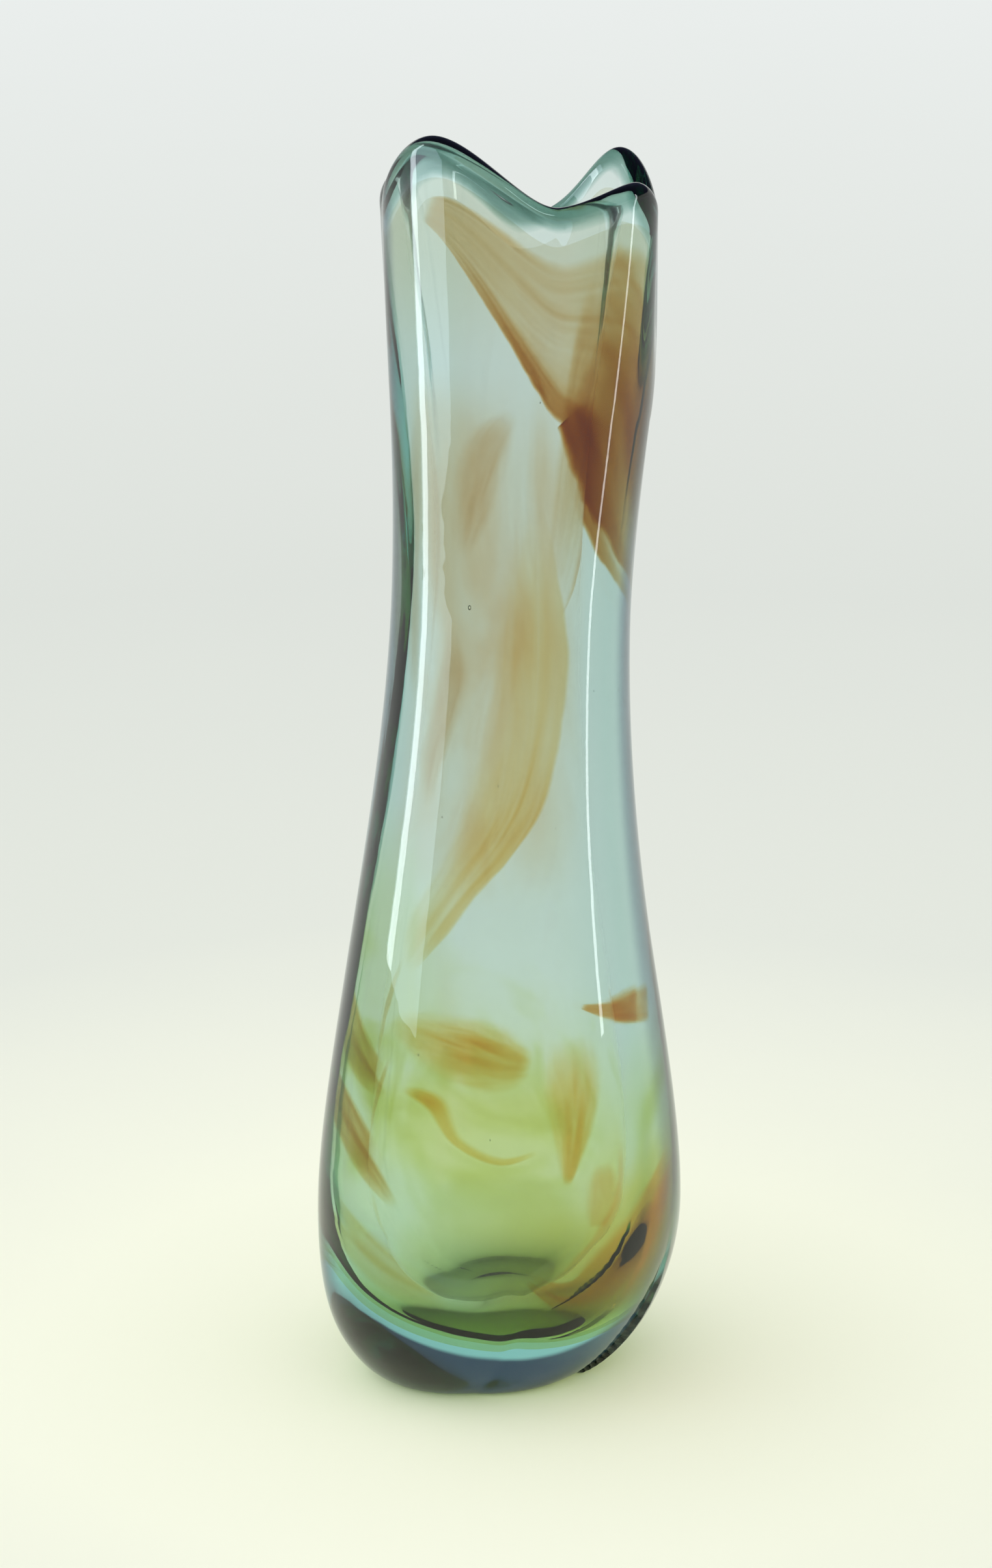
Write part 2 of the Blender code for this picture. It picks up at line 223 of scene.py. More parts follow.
def waviness(points, amount, seed):
    """Long soft ripples in metres, because a hand blown surface is never quite true."""
    rng = np.random.default_rng(seed)
    total = np.zeros(points.shape[:-1])
    for _ in range(RIPPLE_WAVES):
        direction = rng.normal(size=3) * RIPPLE_ACROSS
        wave = 2 * math.pi / (rng.uniform(*RIPPLE_LENGTHS) * MM)
        total += np.sin(points @ (direction / np.linalg.norm(direction)) * wave + rng.uniform(0, 6.28))
    return total / RIPPLE_WAVES * amount * MM


# ---------------------------------------------------------------- mesh building
def link(name, verts, faces, material, uvs=None, map_name=TRAIL_MAP):
    """Makes a smooth mesh object, with a map from a pair of values for each vertex."""
    data = bpy.data.meshes.new(name)
    data.from_pydata(verts.tolist(), [], faces)
    data.validate()
    data.shade_smooth()
    if uvs is not None:
        layer = data.uv_layers.new(name=map_name)
        index = np.empty(len(data.loops), np.int32)
        data.loops.foreach_get("vertex_index", index)
        layer.data.foreach_set("uv", uvs[index].astype(np.float32).ravel())
    data.materials.append(material)
    thing = bpy.data.objects.new(name, data)
    bpy.context.scene.collection.objects.link(thing)
    return thing


def tube_faces(rings, around, start=0):
    """Quads through `rings` closed rings of `around` points."""
    side = np.arange(around)
    following = (side + 1) % around
    quads = []
    for ring in range(rings - 1):
        low, high = start + ring * around, start + (ring + 1) * around
        quads.append(np.stack([low + side, low + following, high + following, high + side], -1))
    return np.concatenate(quads).tolist()


def fan(ring_start, around, tip, flip):
    """Triangles that close a ring to the vertex `tip`."""
    side = np.arange(around)
    following = (side + 1) % around
    pair = (following, side) if flip else (side, following)
    return [(int(ring_start + a), int(ring_start + b), tip) for a, b in zip(*pair)]


AZIMUTHS = np.arange(AROUND) * 360.0 / AROUND


def rim_rings():
    """The fire-polished half round that joins the outside to the hollow."""
    r_out, height = on_curve(OUTER_KNOTS, TOP_STATION)
    r_in, _ = on_curve(CAVITY_KNOTS, TOP_STATION)
    middle, half = (r_out + r_in) / 2.0, (r_out - r_in) / 2.0
    rings = []
    for share in np.linspace(0.0, 1.0, RIM_STEPS + 1)[1:-1]:
        turn = math.pi * share
        reach = 1.0 + (CAVITY_REACH - 1.0) * share
        top = to_space(AZIMUTHS, middle + half * math.cos(turn), height, reach)
        top[:, 2] += half * math.sin(turn) * MM * SETTLE
        rings.append(top)
    return rings


def ripple(rings, amount, seed):
    """Moves points towards the axis or away from it by a ripple that dies out at the foot and the rim."""
    centre = np.stack([rings[..., 0].mean(1), rings[..., 1].mean(1)], -1)[:, None]
    away = rings[..., :2] - centre
    radius = np.linalg.norm(away, axis=-1, keepdims=True) + 1e-9
    height = rings[..., 2:] / MM
    fade = smooth_step(height, *RIPPLE_STARTS) * (1 - smooth_step(height, *RIPPLE_ENDS))
    rings[..., :2] += away / radius * waviness(rings, amount, seed)[..., None] * fade
    return rings


def seeds():
    """Tiny air bubbles shut in the glass, as (azimuth, height, depth, radius, stretch)."""
    rng = np.random.default_rng(11)
    listed = [LARGE_SEED]
    for _ in range(SEED_COUNT):
        azimuth, height = rng.uniform(0, 360), rng.uniform(*SEED_HEIGHTS)
        depth, size = rng.uniform(*SEED_DEPTHS), rng.uniform(*SEED_RADII)
        listed.append((azimuth, height, depth, size, SEED_STRETCH))
    return listed


def seed_body(azimuth, height, depth, size, stretch):
    """The vertices of one air bubble, stretched upwards: its rings, then its top and its bottom."""
    centre = layer_point(azimuth, station_at(height), depth)
    turn = np.linspace(0, 2 * math.pi, SEED_SIDES + 1)[:-1]
    rings = []
    for tilt in np.linspace(0, math.pi, SEED_RINGS + 2)[1:-1]:
        level = np.full(SEED_SIDES, stretch * math.cos(tilt))
        ring = np.stack([np.cos(turn) * math.sin(tilt), np.sin(turn) * math.sin(tilt), level], -1)
        rings.append(centre + size * MM * ring)
    tip = np.array((0, 0, size * stretch * MM))
    return np.concatenate([*rings, (centre + tip)[None], (centre - tip)[None]])


def closed_faces(rings, around, start=0):
    """Quads through the rings, with a fan over each end to one of the two vertices that follow the rings."""
    first_tip = start + rings * around
    ends = fan(start, around, first_tip, True) + fan(first_tip - around, around, first_tip + 1, False)
    return tube_faces(rings, around, start) + ends


def casing(material):
    """The whole wall as one closed body: foot, outside, lip and hollow.

    Its map holds how far a vertex belongs to the outside's skin, which takes the painted edge shade, and how
    far to the lip, which takes painted shade.
    """
    rings = []
    for share in np.linspace(0.0, 1.0, PONTIL_STEPS + 1)[1:]:
        depth = PONTIL_DEPTH * (1.0 - share**2)
        rings.append(to_space(AZIMUTHS, PONTIL_RADIUS * share, depth, 0.0))
    for share in (0.25, 0.5, 0.75):
        radius = PONTIL_RADIUS + (FOOT_RADIUS - PONTIL_RADIUS) * share
        rings.append(to_space(AZIMUTHS, radius, 0.0, share))
    stations = np.linspace(0.0, TOP_STATION, 3 * PER_STATION + 1)
    radius, height = on_curve(OUTER_KNOTS, stations[:, None])
    outside = to_space(AZIMUTHS[None], radius, height)
    rings += list(ripple(outside, OUTSIDE_RIPPLE, OUTSIDE_SEED))
    rings += rim_rings()
    radius, height = on_curve(CAVITY_KNOTS, stations[::-1][:-1, None])
    inside = to_space(AZIMUTHS[None], radius, height, CAVITY_REACH)
    rings += list(ripple(inside, HOLLOW_RIPPLE, HOLLOW_SEED))
    count, hollow_rings = len(rings), len(inside)
    first_lip = count - hollow_rings - RIM_STEPS + 1
    skin = np.ones(count)
    skin[first_lip:-hollow_rings] = np.linspace(1.0, 0.0, RIM_STEPS + 1)[1:-1]
    skin[-hollow_rings:] = 0.0
    # The lip's painted shade, fading out over a few rings on each side.
    lip = np.zeros(count)
    lip[first_lip - LIP_SHADE_FADE : first_lip] = np.linspace(0.0, 1.0, LIP_SHADE_FADE)
    lip[first_lip:-hollow_rings] = 1.0
    lip[-hollow_rings : LIP_SHADE_FADE - hollow_rings] = np.linspace(1.0, 0.0, LIP_SHADE_FADE)
    foot_tip = to_space(0.0, 0.0, PONTIL_DEPTH)
    hollow_tip = layer_point(0.0, np.array(0.0), 0.0)
    verts = np.concatenate([*rings, foot_tip[None], hollow_tip[None]])
    faces = closed_faces(count, AROUND)
    for seed in seeds():
        faces += closed_faces(SEED_RINGS, SEED_SIDES, len(verts))
        verts = np.concatenate([verts, seed_body(*seed)])
    shares = np.zeros((len(verts), 2))
    shares[: count * AROUND] = np.repeat(np.stack([skin, lip], -1), AROUND, 0)
    shares[count * AROUND, 0] = 1.0
    return link("casing_glass", verts, faces, material, shares, CASING_MAP)


def lining(material):
    """The first gather: a closed shell just outside the hollow's surface."""
    stations = np.linspace(0.0, LINING_TOP, LINING_STEPS + 1)[1:]
    outside = layer_point(AZIMUTHS[None], stations[:, None], np.array(LINING_OUTER))
    inside = layer_point(AZIMUTHS[None], stations[::-1][:, None], np.array(LINING_INNER))
    tips = [layer_point(0.0, np.array(0.0), depth)[None] for depth in (LINING_OUTER, LINING_INNER)]
    verts = np.concatenate([outside.reshape(-1, 3), inside.reshape(-1, 3), *tips])
    return link("lining_glass", verts, closed_faces(2 * LINING_STEPS, AROUND), material)


def smooth_route(points, share):
    """Points of the smooth curve through a ribbon's own points, for an array of shares of its length."""
    points = np.asarray(points, float)
    last = len(points) - 1
    index = np.minimum((share * last).astype(int), last - 1)
    part = (share * last - index)[:, None]
    start, end = points[index], points[index + 1]
    before, after = points[np.maximum(index - 1, 0)], points[np.minimum(index + 2, last)]
    leaving, arriving = start + (end - before) / 6.0, end - (after - start) / 6.0
    return (
        (1 - part) ** 3 * start
        + 3 * (1 - part) ** 2 * part * leaving
        + 3 * (1 - part) * part**2 * arriving
        + part**3 * end
    )


def ribbon(name, route, widths, material):
    """A flattened trail. Its map runs along (0 to 1) and across (0 below or left, 1 above or right)."""
    share = np.linspace(0.0, 1.0, RIBBON_STEPS + 1)
    centre = smooth_route(route, share)
    nearby = 0.01
    ahead = smooth_route(route, np.minimum(share + nearby, 1.0))
    ahead = ahead - smooth_route(route, np.maximum(share - nearby, 0.0))
    around = np.radians(1.0) * on_curve(CAVITY_KNOTS, station_at(centre[:, 1]))[0]
    direction = np.stack([ahead[:, 0] * around, ahead[:, 1]], -1)
    direction /= np.linalg.norm(direction, axis=-1, keepdims=True)
    width = smooth_route([(width, 0.0) for width in widths], share)[:, 0]
    across = np.stack([-direction[:, 1] / around, direction[:, 0]], -1)
    verts, uvs = [], []
    for face in (1, -1):
        for step in range(RIBBON_SPANS + 1):
            offset = face * (2.0 * step / RIBBON_SPANS - 1.0)
            spot = centre + across * (offset * width / 2.0)[:, None]
            crown = RIBBON_EDGE + (RIBBON_THICKNESS - RIBBON_EDGE) * (1.0 - offset**2)
            depth = RIBBON_FLOOR + (crown if face == 1 else 0.0)
            verts.append(layer_point(spot[:, 0], station_at(spot[:, 1]), np.array(depth)))
            uvs.append(np.stack([share, np.full(RIBBON_STEPS + 1, (offset + 1.0) / 2.0)], -1))
    verts = np.stack(verts, 1)
    uvs = np.stack(uvs, 1)
    count = verts.shape[1]
    faces = tube_faces(RIBBON_STEPS + 1, count)
    faces.append(list(range(count))[::-1])
    faces.append([RIBBON_STEPS * count + side for side in range(count)])
    return link(name, verts.reshape(-1, 3), faces, material, uvs.reshape(-1, 2))


# ---------------------------------------------------------------- materials
class Nodes:
    """Short calls for making and linking shader nodes."""

    def __init__(self, tree):
        self.tree = tree
        tree.nodes.clear()

    def add(self, kind, inputs=(), **settings):
        """A node, with each input linked to a socket or set to a value."""
        node = self.tree.nodes.new(kind)
        for key, value in settings.items():
            setattr(node, key, value)
        for key, value in dict(inputs).items():
            if isinstance(value, bpy.types.NodeSocket):
                self.tree.links.new(value, node.inputs[key])
            else:
                node.inputs[key].default_value = value
        return node

    def math(self, operation, first, second=0.0, third=0.0):
        """One operation on sockets or numbers."""
        return self.add("ShaderNodeMath", {0: first, 1: second, 2: third}, operation=operation).outputs[0]

    def ease(self, value, low, high, to_low=0.0, to_high=1.0):
        """Smoothly maps low..high to to_low..to_high, clamped."""
        node = self.add(
            "ShaderNodeMapRange",
            {"Value": value, "From Min": low, "From Max": high, "To Min": to_low, "To Max": to_high},
            interpolation_type="SMOOTHSTEP",
        )
        return node.outputs["Result"]

    def band(self, value, low, low_soft, high, high_soft):
        """1 between low and high, easing to 0 outside over the soft widths."""
        up = self.ease(value, low - low_soft, low + low_soft)
        down = self.ease(value, high - high_soft, high + high_soft, 1.0, 0.0)
        return self.math("MULTIPLY", up, down)

    def noise(self, place, scale, detail, distortion=0.0):
        """A noise texture's value, which stays mostly between 0.3 and 0.7."""
        inputs = {"Vector": place, "Scale": scale, "Detail": detail, "Distortion": distortion}
        return self.add("ShaderNodeTexNoise", inputs).outputs["Fac"]

    def tint(self, colour, density):
        """The colour raised to a density, as light through coloured glass is."""
        return self.add("ShaderNodeGamma", {"Color": (*colour, 1.0), "Gamma": density}).outputs[0]

    def product(self, first, *others):
        """Colours multiplied together. Inputs 6 and 7 and output 2 of the node are its colour sockets."""
        for other in others:
            inputs = {"Factor": 1.0, 6: first, 7: other}
            node = self.add("ShaderNodeMix", inputs, data_type="RGBA", blend_type="MULTIPLY")
            first = node.outputs[2]
        return first

    def mix(self, share, first, second):
        """Colour sockets or values, from the first at 0 to the second at 1."""
        return self.add("ShaderNodeMix", {"Factor": share, 6: first, 7: second}, data_type="RGBA").outputs[2]


def new_material(name):
    """A material with an empty node tree, and short calls for it."""
    material = bpy.data.materials.new(name)
    material.use_nodes = True
    return material, Nodes(material.node_tree)


GLASS_IOR = 1.5
GLASS_COLOUR, GLASS_DENSITY = (0.07, 0.68, 0.64), 26.0
LIP_SHADE = (0.17, 0.33, 0.29)  # painted shade: the lip, seen through its whole thickness, is tinted darker for the dark band of the rim
EDGE_SHADE = (0.035, 0.055, 0.10)  # painted shade: what the outside darkens to where it is seen edge on, standing in for the dim room that its edges show


def casing_material():
    """Clear aqua glass: the colour is in its thickness, with faint wipe marks and ripples on its skin, and
    painted shade on its lip and where its outside is seen edge on.
    """
    material, n = new_material("aqua glass")
    place = n.add("ShaderNodeTexCoord").outputs["Object"]
    swirl = n.noise(place, 55.0, 2.0, 0.6)
    bump = n.add("ShaderNodeBump", {"Height": swirl, "Strength": 0.05, "Distance": 0.0015})
    stretched = n.add("ShaderNodeMapping", {"Vector": place, "Scale": (90.0, 90.0, 18.0)})
    marks = n.noise(stretched.outputs[0], 1.0, 6.0)
    facing = n.add("ShaderNodeLayerWeight", {"Blend": 0.5}).outputs["Facing"]
    shares = n.add("ShaderNodeUVMap", uv_map=CASING_MAP).outputs[0]
    skin, lip, _ = n.add("ShaderNodeSeparateXYZ", {"Vector": shares}).outputs
    # Painted shade: the outside darkens where it is seen edge on, and the lip is tinted darker.
    at_edge = n.tint(EDGE_SHADE, n.math("MULTIPLY", n.ease(facing, 0.52, 0.86), skin))
    shader = n.add(
        "ShaderNodeBsdfPrincipled",
        {
            "Base Color": n.product(at_edge, n.tint(LIP_SHADE, lip)),
            "Roughness": n.ease(marks, 0.62, 0.86, 0.0, 0.035),
            "IOR": GLASS_IOR,
            "Transmission Weight": 1.0,
            "Normal": bump.outputs[0],
        },
    )
    inside = {"Color": (*GLASS_COLOUR, 1.0), "Density": GLASS_DENSITY}
    volume = n.add("ShaderNodeVolumeAbsorption", inside)
    n.add("ShaderNodeOutputMaterial", {"Surface": shader.outputs[0], "Volume": volume.outputs[0]})
    return material


# The azimuths round which the lining's colours gather, and how wide they spread, from none to full.
VEIL_TOWARDS, VEIL_SPREAD = math.radians(-160.0), (0.35, 0.97)
SMOKE_TOWARDS, SMOKE_SPREAD = math.radians(-96.0), (0.45, 0.95)
AMBER_TOWARDS, AMBER_SPREAD = math.radians(-38.0), (0.30, 0.95)
# Their heights in metres: bands are (from, softness, to, softness), and fades are (from, to).
VEIL_TOP, VEIL_RISE, VEIL_EDGE = 0.066, 0.042, (-0.013, 0.010)  # it rises towards its own azimuth
VEIL_FADE, VEIL_LEAST = (0.022, 0.052), 0.55  # it thins out downwards to this share
FLOW = 0.030  # how far the edges of the veil and of the bands over the belly wander up and down
CLOUD_BAND = (0.040, 0.010, 0.088, 0.012)
SMOKE_BAND = (0.112, 0.012, 0.196, 0.012)
YELLOW_BAND = (0.047, 0.006, 0.066, 0.006)
AMBER_BAND = (0.016, 0.006, 0.044, 0.010)
BOTTOM_FADE = (0.014, 0.026)
TOP_GREY_FADE = (0.200, 0.232)
LINING_TINT = (0.965, 0.962, 0.958)
VEIL_TINT = (0.945, 0.950, 0.800)
SMOKE_TINT = (0.965, 0.86, 0.73)
YELLOW_TINT = (1.0, 0.975, 0.80)
AMBER_TINT = (1.0, 0.94, 0.72)
BOTTOM_TINT = (0.975, 0.955, 0.76)
TOP_GREY_TINT = (0.972, 0.962, 0.915)


def lining_material():
    """Clear glass with a yellow-green veil round the belly that reaches highest at the left.

    Fainter colours lie over it: smoky streaks down the front of the neck, yellow across the front of the
    belly, amber at its lower right, olive over the hollow's bottom and a faint grey towards the top, under
    the lip.
    """
    material, n = new_material("lining glass")
    place = n.add("ShaderNodeTexCoord").outputs["Object"]
    x, y, z = n.add("ShaderNodeSeparateXYZ", {"Vector": place}).outputs
    axis = n.add("ShaderNodeCombineXYZ", {0: x, 1: y})
    away = n.add("ShaderNodeVectorMath", {0: axis.outputs[0]}, operation="LENGTH").outputs["Value"]

    def turned_to(towards):
        """1 on the side at this azimuth, and -1 on the other."""
        to_right = n.math("MULTIPLY", x, math.cos(towards))
        to_back = n.math("MULTIPLY", y, math.sin(towards))
        return n.math("DIVIDE", n.math("ADD", to_right, to_back), away)

    flow = n.noise(place, 26.0, 3.0, 1.0)
    height = n.math("ADD", z, n.math("MULTIPLY_ADD", flow, FLOW, -FLOW / 2))
    top = n.math("MULTIPLY_ADD", n.ease(turned_to(VEIL_TOWARDS), *VEIL_SPREAD), VEIL_RISE, VEIL_TOP)
    veil = n.ease(n.math("SUBTRACT", height, top), *VEIL_EDGE, 1.0, 0.0)
    low = n.ease(z, *VEIL_FADE, VEIL_LEAST, 1.0)
    clouds = n.ease(n.noise(place, 30.0, 2.5, 1.8), 0.42, 0.66)
    clouded = n.math("MULTIPLY_ADD", n.math("MULTIPLY", clouds, n.band(z, *CLOUD_BAND)), 1.5, 0.48)
    veiled = n.tint(VEIL_TINT, n.math("MULTIPLY", n.math("MULTIPLY", veil, low), clouded))

    front = n.ease(turned_to(SMOKE_TOWARDS), *SMOKE_SPREAD)
    stretch = {"Vector": place, "Scale": (70.0, 70.0, 17.0), "Rotation": (0.0, 0.35, 0.0)}
    wisps = n.noise(n.add("ShaderNodeMapping", stretch).outputs[0], 1.0, 4.0, 1.2)
    smoky = n.math("MULTIPLY", n.ease(wisps, 0.32, 0.70, 0.25, 1.5), n.band(z, *SMOKE_BAND))
    smoke = n.tint(SMOKE_TINT, n.math("MULTIPLY", smoky, front))

    belly = n.band(height, *YELLOW_BAND)
    yellow = n.tint(YELLOW_TINT, n.math("MULTIPLY", n.math("MULTIPLY", front, front), belly))

    corner = n.ease(turned_to(AMBER_TOWARDS), *AMBER_SPREAD)
    amber = n.tint(AMBER_TINT, n.math("MULTIPLY", corner, n.band(height, *AMBER_BAND)))

    bottom = n.tint(BOTTOM_TINT, n.ease(z, *BOTTOM_FADE, 1.0, 0.0))
    # A faint grey towards the top, under the lip.
    top_grey = n.tint(TOP_GREY_TINT, n.ease(z, *TOP_GREY_FADE))
    total = n.product((*LINING_TINT, 1.0), veiled, smoke, yellow, amber, bottom, top_grey)
    tinted = n.add("ShaderNodeBsdfTransparent", {"Color": total})
    n.add("ShaderNodeOutputMaterial", {"Surface": tinted.outputs[0]})
    return material


TRAIL_MARGIN, TRAIL_WARP = 0.03, 0.12  # shares of its width: clear at each edge, and how far they wander


def ribbon_material(name, colour, strength, edges, streaks, gather):
    """A trail's tint, by its own map.

    edges is how softly it fades (below, above, at its start, at its end), as shares. gather is (how much more
    colour runs along its lower edge, how much more at a place along it, that place, the length of it, and how
    far across the trail it reaches from the lower edge).
    """
    material, n = new_material(name.replace("_", " ") + " glass")
    own_map = n.add("ShaderNodeUVMap", uv_map=TRAIL_MAP).outputs[0]
    place = n.add("ShaderNodeTexCoord").outputs["Object"]
    warp = n.noise(place, 70.0, 3.0)
    along, across, _ = n.add("ShaderNodeSeparateXYZ", {"Vector": own_map}).outputs
    across = n.math("ADD", across, n.math("MULTIPLY_ADD", warp, TRAIL_WARP, -TRAIL_WARP / 2))
    below, above, start, end = edges
    from_below = n.ease(across, TRAIL_MARGIN, TRAIL_MARGIN + below)
    to_above = n.ease(across, 1.0 - TRAIL_MARGIN - above, 1.0 - TRAIL_MARGIN, 1.0, 0.0)
    body = n.math("MULTIPLY", from_below, to_above)
    ends = n.math("MULTIPLY", n.ease(along, 0.01, start), n.ease(along, 1.0 - end, 0.99, 1.0, 0.0))
    stretched = n.add("ShaderNodeMapping", {"Vector": own_map, "Scale": (streaks * 0.35, streaks, 1.0)})
    grain = n.ease(n.noise(stretched.outputs[0], 1.0, 5.0, 0.8), 0.30, 0.72, 0.55, 1.35)
    edge_more, spot_more, spot, spot_length, reach = gather
    at_edge = n.math("MULTIPLY", n.ease(across, 0.05, 0.24, edge_more, 0.0), n.ease(along, 0.05, 0.42))
    half = spot_length / 2
    near_spot = n.band(along, spot - half, half, spot + half, half)
    at_spot = n.math("MULTIPLY", near_spot, n.ease(across, reach - 0.4, reach, spot_more, 0.0))
    more = n.math("ADD", 1.0, n.math("ADD", at_edge, at_spot))
    density = n.math("MULTIPLY", n.math("MULTIPLY", body, ends), n.math("MULTIPLY", grain, strength))
    tinted = n.add("ShaderNodeBsdfTransparent", {"Color": n.tint(colour, n.math("MULTIPLY", density, more))})
    n.add("ShaderNodeOutputMaterial", {"Surface": tinted.outputs[0]})
    return material


# ---------------------------------------------------------------- the coloured trails
EVEN = (0.0, 0.0, 0.5, 1.0, 2.0)  # a gather that adds nothing
WISP_FADES = (0.4, 0.4, 0.3, 0.3)
STRIPE_FADES = (0.3, 0.3, 0.3, 0.3)
# name: (route of (azimuth, height), widths, tint, strength, fades, streaks, gather, slot), where widths are
# spread evenly along the route, and fades and gather are as in ribbon_material
TRAILS = {
    "brown_sash": (
        ((-130, 226), (-108, 223), (-80, 218.5), (-44, 212), (-14, 203), (22, 177), (60, 148)),
        (4, 13, 24, 34, 38, 34, 5),
        (0.76, 0.50, 0.23), 0.33, (0.04, 0.14, 0.06, 0.3), 5.0,
        (3.6, 1.6, 0.71, 0.30, 0.80), "brown_glass",
    ),
    "smoky_wisp_1": (
        ((-92, 197), (-104, 189), (-113, 179), (-119, 168)),
        (2, 7, 8, 3),
        (0.86, 0.70, 0.52), 0.50, WISP_FADES, 4.0, EVEN, "smoky_glass",
    ),
    "smoky_wisp_2": (
        ((-124, 157), (-121, 148), (-124, 139), (-130, 129), (-130, 119)),
        (2, 6, 6, 5, 2),
        (0.86, 0.70, 0.52), 0.55, WISP_FADES, 4.0, EVEN, "smoky_glass",
    ),
    "smoky_wisp_3": (
        ((-158, 197), (-166, 184), (-170, 168), (-168, 152), (-162, 138)),
        (2, 6, 6, 5, 2),
        (0.84, 0.72, 0.58), 0.6, WISP_FADES, 4.0, EVEN, "smoky_glass",
    ),
    "amber_tongue": (
        ((-78, 181), (-79, 167), (-78, 150), (-80, 137), (-88, 124),
         (-98, 115), (-112, 106), (-124, 97), (-133, 87)),
        (3, 10, 14, 14, 15, 12, 9, 8, 3),
        (0.965, 0.84, 0.57), 0.74, (0.45, 0.06, 0.25, 0.15), 4.0,
        (0.0, 0.7, 0.60, 0.22, 2.0), "amber_glass",
    ),
    "amber_belt": (
        ((-138, 77), (-122, 76), (-106, 74), (-90, 71.5), (-76, 70)),
        (4, 12, 16, 15, 7),
        (0.95, 0.78, 0.44), 0.85, (0.35, 0.40, 0.35, 0.15), 5.0,
        (0.0, 0.7, 0.55, 0.25, 2.0), "amber_glass",
    ),
    "yellow_loop": (
        ((-128, 65), (-115, 63), (-106, 56), (-90, 52), (-74, 53.5)),
        (2, 4.5, 2.6, 2.2, 1.2),
        (0.95, 0.76, 0.38), 0.65, (0.30, 0.45, 0.15, 0.2), 3.0,
        (0.0, 0.9, 0.22, 0.15, 2.0), "yellow_glass",
    ),
    "amber_wedge": (
        ((-60, 76), (-60, 67), (-61, 57), (-64, 46)),
        (9, 12, 8.5, 1.5),
        (0.96, 0.77, 0.44), 0.85, (0.35, 0.25, 0.45, 0.1), 5.0, EVEN, "amber_glass",
    ),
    "amber_fleck": (
        ((-54, 81), (-38, 78.5), (-22, 77), (-10, 76)),
        (1, 4.5, 8, 9),
        (0.90, 0.62, 0.32), 0.9, (0.15, 0.3, 0.1, 0.15), 3.0, EVEN, "amber_glass",
    ),
    "amber_patch": (
        ((-50, 50), (-50, 43), (-52, 37)),
        (4, 8, 4),
        (0.98, 0.82, 0.62), 0.7, (0.3, 0.3, 0.3, 0.1), 3.0, EVEN, "amber_glass",
    ),
    "orange_crescent": (
        ((4, 45), (-10, 36), (-22, 28.5), (-36, 24.5), (-52, 22), (-66, 23.5), (-80, 28)),
        (4, 14, 20, 16, 8, 3, 1.2),
        (1.0, 0.74, 0.44), 0.95, (0.15, 0.30, 0.15, 0.1), 3.0, EVEN, "orange_glass",
    ),
    "olive_stripe_1": (
        ((-196, 83), (-176, 75), (-160, 69), (-146, 65), (-135, 62)),
        (2, 6, 7, 6, 2),
        (0.88, 0.76, 0.46), 1.3, STRIPE_FADES, 4.0, EVEN, "olive_glass",
    ),
    "olive_stripe_2": (
        ((-190, 62), (-172, 57), (-156, 53), (-140, 47), (-127, 41)),
        (2, 6, 7, 6, 2),
        (0.88, 0.72, 0.46), 1.4, STRIPE_FADES, 4.0, EVEN, "olive_glass",
    ),
    "olive_stripe_3": (
        ((-172, 37), (-152, 31), (-130, 25.5), (-110, 22)),
        (3, 8, 8, 3),
        (0.94, 0.84, 0.58), 0.8, STRIPE_FADES, 4.0, EVEN, "olive_glass",
    ),
}


def place_piece(piece, node):
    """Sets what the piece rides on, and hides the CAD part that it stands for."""
    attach(piece, "root")
    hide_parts(node)


place_piece(casing(casing_material()), "outer_casing")
place_piece(lining(lining_material()), "inner_bubble")
for trail, (route, widths, tint, strength, fades, streaks, gather, slot) in TRAILS.items():
    material = ribbon_material(trail, tint, strength, fades, streaks, gather)
    place_piece(ribbon(trail + "_glass", route, widths, material), trail)


# ---------------------------------------------------------------- floor, light and camera
# The paper's colour by its distance from the vase, in metres.
PAPER_REACH = 2.4
PAPER = (
    (0.0, (0.955, 0.965, 0.75)),
    (0.10, (0.90, 0.92, 0.77)),
    (0.26, (0.725, 0.755, 0.69)),
    (0.60, (0.675, 0.705, 0.665)),
    (2.2, (0.765, 0.795, 0.785)),
)
PAPER_LEVEL, PAPER_SIDES = -0.0002, 96
PAPER_MOTTLE = 0.03
WALL_COLOUR = (0.83, 0.86, 0.85)
LOW_ROOM, DIM_ROOM, LEFT_ROOM = (0.80, 0.83, 0.80), (0.070, 0.080, 0.150), (0.42, 0.46, 0.50)
HORIZON_BAND = 0.276  # the sine of the elevation where the pale surroundings end and the dim room begins
HORIZON_SOFT = 0.03
LEFT_FROM, LEFT_TO = -0.45, -0.85  # how far to the left the room begins to grow lighter, and is lightest
DOME_STRENGTH, DOME_LEFT = 0.93, 0.75  # the dome's light, and what is added at its far left
SHADOW = 0.35
LIGHT_TOP = 0.42
# name: (degrees round from the front to its middle, distance, width, lower edge, radiance, colour)
STRIP_LIGHTS = {
    "left_window": (-82.0, 0.27, 0.034, 0.066, 7.0, (0.88, 0.96, 1.0)),
    "left_haze": (-68.0, 0.38, 0.28, 0.055, 3.0, (0.70, 0.86, 1.0)),
    "right_strip": (68.0, 0.27, 0.018, 0.050, 8.0, (0.92, 0.98, 1.0)),
}
SENSOR_WIDTH, LENS = 36.0, 107.5
CAMERA_AT, CAMERA_AIM = (-0.0007, -0.868, 0.39), (-0.0007, 0.0, 0.1193)


